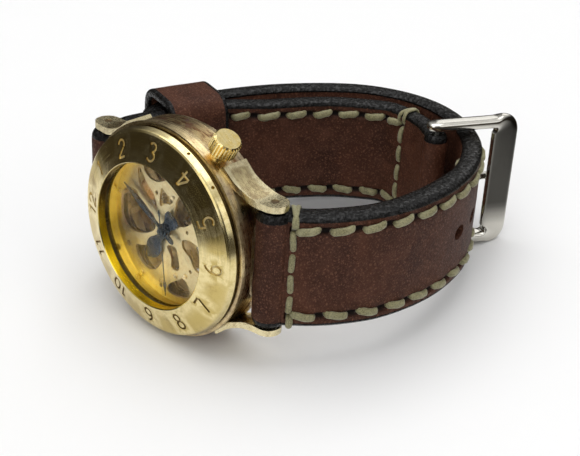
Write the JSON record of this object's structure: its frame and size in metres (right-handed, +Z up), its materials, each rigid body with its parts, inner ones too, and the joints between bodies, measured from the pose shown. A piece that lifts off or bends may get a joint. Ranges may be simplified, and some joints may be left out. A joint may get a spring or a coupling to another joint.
{
  "type": "skeleton wristwatch",
  "caption": "Skeleton wristwatch with an aged brass case, engraved hour numerals on a wide bezel, fluted crown and a stitched brown leather strap buckled into a loop.",
  "frame": {"origin": "centre of the bounding box on the table the watch lies on", "axes": "+Z up from the table; +X from the dial towards the buckle; +Y towards 12 o'clock. The case axis leans by the angle at which the watch rests on its case ring and buckle."},
  "size_m": [0.0766, 0.0686, 0.0432],
  "materials": {
    "worn_brass": "brushed and aged",
    "aged_band": "patinated",
    "polished_gold": "polished",
    "movement_gold": "fine matt gilt",
    "wheel_brass": "satin",
    "copper_wheel": "satin",
    "steel": "satin",
    "blued_steel": "blued",
    "clear": "clear",
    "gasket": "matt",
    "ruby": "polished",
    "leather": "semi-matt, black burnished edges",
    "nickel": "brushed"
  },
  "bodies": {
    "case": {"bezel": "worn_brass", "case_ring": "worn_brass", "case_band": "aged_band", "crown_tube": "polished_gold", "crystal": "clear", "crystal_gasket": "gasket", "inner_ring": "polished_gold", "movement_ring": "movement_gold", "case_back": "aged_band", "back_glass": "clear", "lug_6_up": "aged_band", "lug_6_down": "aged_band", "lug_12_up": "aged_band", "lug_12_down": "aged_band", "lug_bar_12": "steel", "lug_bar_6": "steel", "main_plate": "movement_gold", "dial_plate": "movement_gold", "dial_pillars": "movement_gold", "dial_screws": "steel", "barrel_bridge": "movement_gold", "train_bridge": "movement_gold", "balance_cock": "movement_gold", "bridge_screws": "steel", "jewels": "ruby", "pallet_cock": "movement_gold", "minute_post": "steel", "click_post": "steel"},
    "seconds": {"fourth_wheel": "wheel_brass", "seconds_hand": "blued_steel"},
    "minutes": {"centre_wheel": "wheel_brass", "cannon_pinion": "steel", "minute_hand": "blued_steel"},
    "hours": {"hour_wheel": "wheel_brass", "hour_hand": "blued_steel"},
    "motion_wheel": {"minute_wheel": "wheel_brass"},
    "third": {"third_wheel": "wheel_brass"},
    "escape": {"escape_wheel": "steel"},
    "mainspring_barrel": {"barrel": "copper_wheel"},
    "balance": {"balance_wheel": "wheel_brass", "hairspring": "blued_steel"},
    "pallet": {"pallet_fork": "steel"},
    "clutch": {"clutch_wheel": "steel"},
    "stem": {"winding_stem": "steel", "crown": "polished_gold"},
    "pinion": {"winding_pinion": "steel"},
    "crown_gear": {"crown_wheel": "steel"},
    "idler": {"idler_wheel": "steel"},
    "ratchet": {"ratchet_wheel": "steel"},
    "click": {"click": "steel"},
    "long_strap": {"strap_long": "leather"},
    "short_strap": {"strap_short": "leather"},
    "keeper": {"strap_keeper": "leather"},
    "buckle": {"buckle_frame": "nickel", "buckle_bar": "nickel"},
    "tongue": {"buckle_tongue": "nickel"}
  },
  "joints": [
    {"name": "seconds_turn", "type": "hinge", "parent": "case", "child": "seconds", "pos_m": [-0.02896, 0.00241, 0.02034], "axis": [0.9948, 0, -0.1015], "continuous": true},
    {"name": "minutes_turn", "type": "hinge", "parent": "case", "child": "minutes", "pos_m": [-0.02896, 0.00241, 0.02034], "axis": [0.9948, 0, -0.1015], "continuous": true},
    {"name": "hours_turn", "type": "hinge", "parent": "case", "child": "hours", "pos_m": [-0.03195, 0.00241, 0.02065], "axis": [0.9948, 0, -0.1015], "continuous": true},
    {"name": "motion_turn", "type": "hinge", "parent": "case", "child": "motion_wheel", "pos_m": [-0.03057, 0.00343, 0.02433], "axis": [0.9948, 0, -0.1015], "continuous": true},
    {"name": "third_turn", "type": "hinge", "parent": "case", "child": "third", "pos_m": [-0.02945, 0.00068, 0.01561], "axis": [0.9948, 0, -0.1015], "continuous": true},
    {"name": "escape_turn", "type": "hinge", "parent": "case", "child": "escape", "pos_m": [-0.02891, -0.00242, 0.02085], "axis": [0.9948, 0, -0.1015], "continuous": true},
    {"name": "barrel_turn", "type": "hinge", "parent": "case", "child": "mainspring_barrel", "pos_m": [-0.02874, 0.00857, 0.02257], "axis": [0.9948, 0, -0.1015], "continuous": true},
    {"name": "balance_swing", "type": "hinge", "parent": "case", "child": "balance", "pos_m": [-0.02896, -0.00789, 0.02034], "axis": [0.9948, 0, -0.1015], "range_deg": [-200, 200], "stiffness_Nm_per_rad": 0.0000005},
    {"name": "pallet_rock", "type": "hinge", "parent": "case", "child": "pallet", "pos_m": [-0.02894, -0.00524, 0.02061], "axis": [0.9948, 0, -0.1015], "range_deg": [-4, 4]},
    {"name": "winding_turn", "type": "hinge", "parent": "case", "child": "clutch", "pos_m": [-0.02878, -0.00259, 0.02903], "axis": [0.0879, -0.5, 0.8615], "continuous": true},
    {"name": "crown_pull", "type": "slide", "parent": "clutch", "child": "stem", "axis": [0.0879, -0.5, 0.8615], "range_m": [0, 0.0008]},
    {"name": "pinion_turn", "type": "hinge", "parent": "case", "child": "pinion", "pos_m": [-0.02852, -0.00409, 0.03161], "axis": [0.0879, -0.5, 0.8615], "continuous": true},
    {"name": "crown_gear_turn", "type": "hinge", "parent": "case", "child": "crown_gear", "pos_m": [-0.02707, -0.00269, 0.02903], "axis": [0.9948, 0, -0.1015], "continuous": true},
    {"name": "idler_turn", "type": "hinge", "parent": "case", "child": "idler", "pos_m": [-0.02636, 0.00208, 0.02615], "axis": [0.9948, 0, -0.1015], "continuous": true},
    {"name": "ratchet_turn", "type": "hinge", "parent": "case", "child": "ratchet", "pos_m": [-0.02675, 0.00857, 0.02237], "axis": [0.9948, 0, -0.1015], "continuous": true},
    {"name": "click_rock", "type": "hinge", "parent": "case", "child": "click", "pos_m": [-0.0263, 0.01317, 0.02675], "axis": [0.9948, 0, -0.1015], "range_deg": [-4, 4], "stiffness_Nm_per_rad": 0.000002},
    {"name": "long_strap_swing", "type": "hinge", "parent": "case", "child": "long_strap", "pos_m": [-0.02747, -0.01989, 0.02019], "axis": [0.1015, 0, 0.9948], "range_deg": [-0.5, 0.5]},
    {"name": "short_strap_swing", "type": "hinge", "parent": "case", "child": "short_strap", "pos_m": [-0.02747, 0.02471, 0.02019], "axis": [0.1015, 0, 0.9948], "range_deg": [-0.5, 0.5]},
    {"name": "keeper_slide", "type": "slide", "parent": "long_strap", "child": "keeper", "axis": [-0.9532, 0.2863, 0.0973], "range_m": [-0.0015, 0.0015]},
    {"name": "buckle_swing", "type": "hinge", "parent": "short_strap", "child": "buckle", "pos_m": [0.02117, -0.01619, 0.01522], "axis": [0.1015, 0, 0.9948], "range_deg": [-2, 2]},
    {"name": "tongue_swing", "type": "hinge", "parent": "buckle", "child": "tongue", "pos_m": [0.02117, -0.01619, 0.01522], "axis": [0.1015, 0, 0.9948], "range_deg": [0, 4]}
  ],
  "couplings": [
    {"joint": "minutes_turn", "follows": "seconds_turn", "ratio": 0.016667},
    {"joint": "hours_turn", "follows": "seconds_turn", "ratio": 0.0013889},
    {"joint": "motion_turn", "follows": "seconds_turn", "ratio": -0.0055556},
    {"joint": "third_turn", "follows": "seconds_turn", "ratio": -0.125},
    {"joint": "escape_turn", "follows": "seconds_turn", "ratio": -7.5},
    {"joint": "barrel_turn", "follows": "seconds_turn", "ratio": -0.0025},
    {"joint": "pinion_turn", "follows": "winding_turn", "ratio": 1},
    {"joint": "crown_gear_turn", "follows": "winding_turn", "ratio": -0.58333},
    {"joint": "idler_turn", "follows": "winding_turn", "ratio": 0.41176},
    {"joint": "ratchet_turn", "follows": "winding_turn", "ratio": -0.29167}
  ]
}
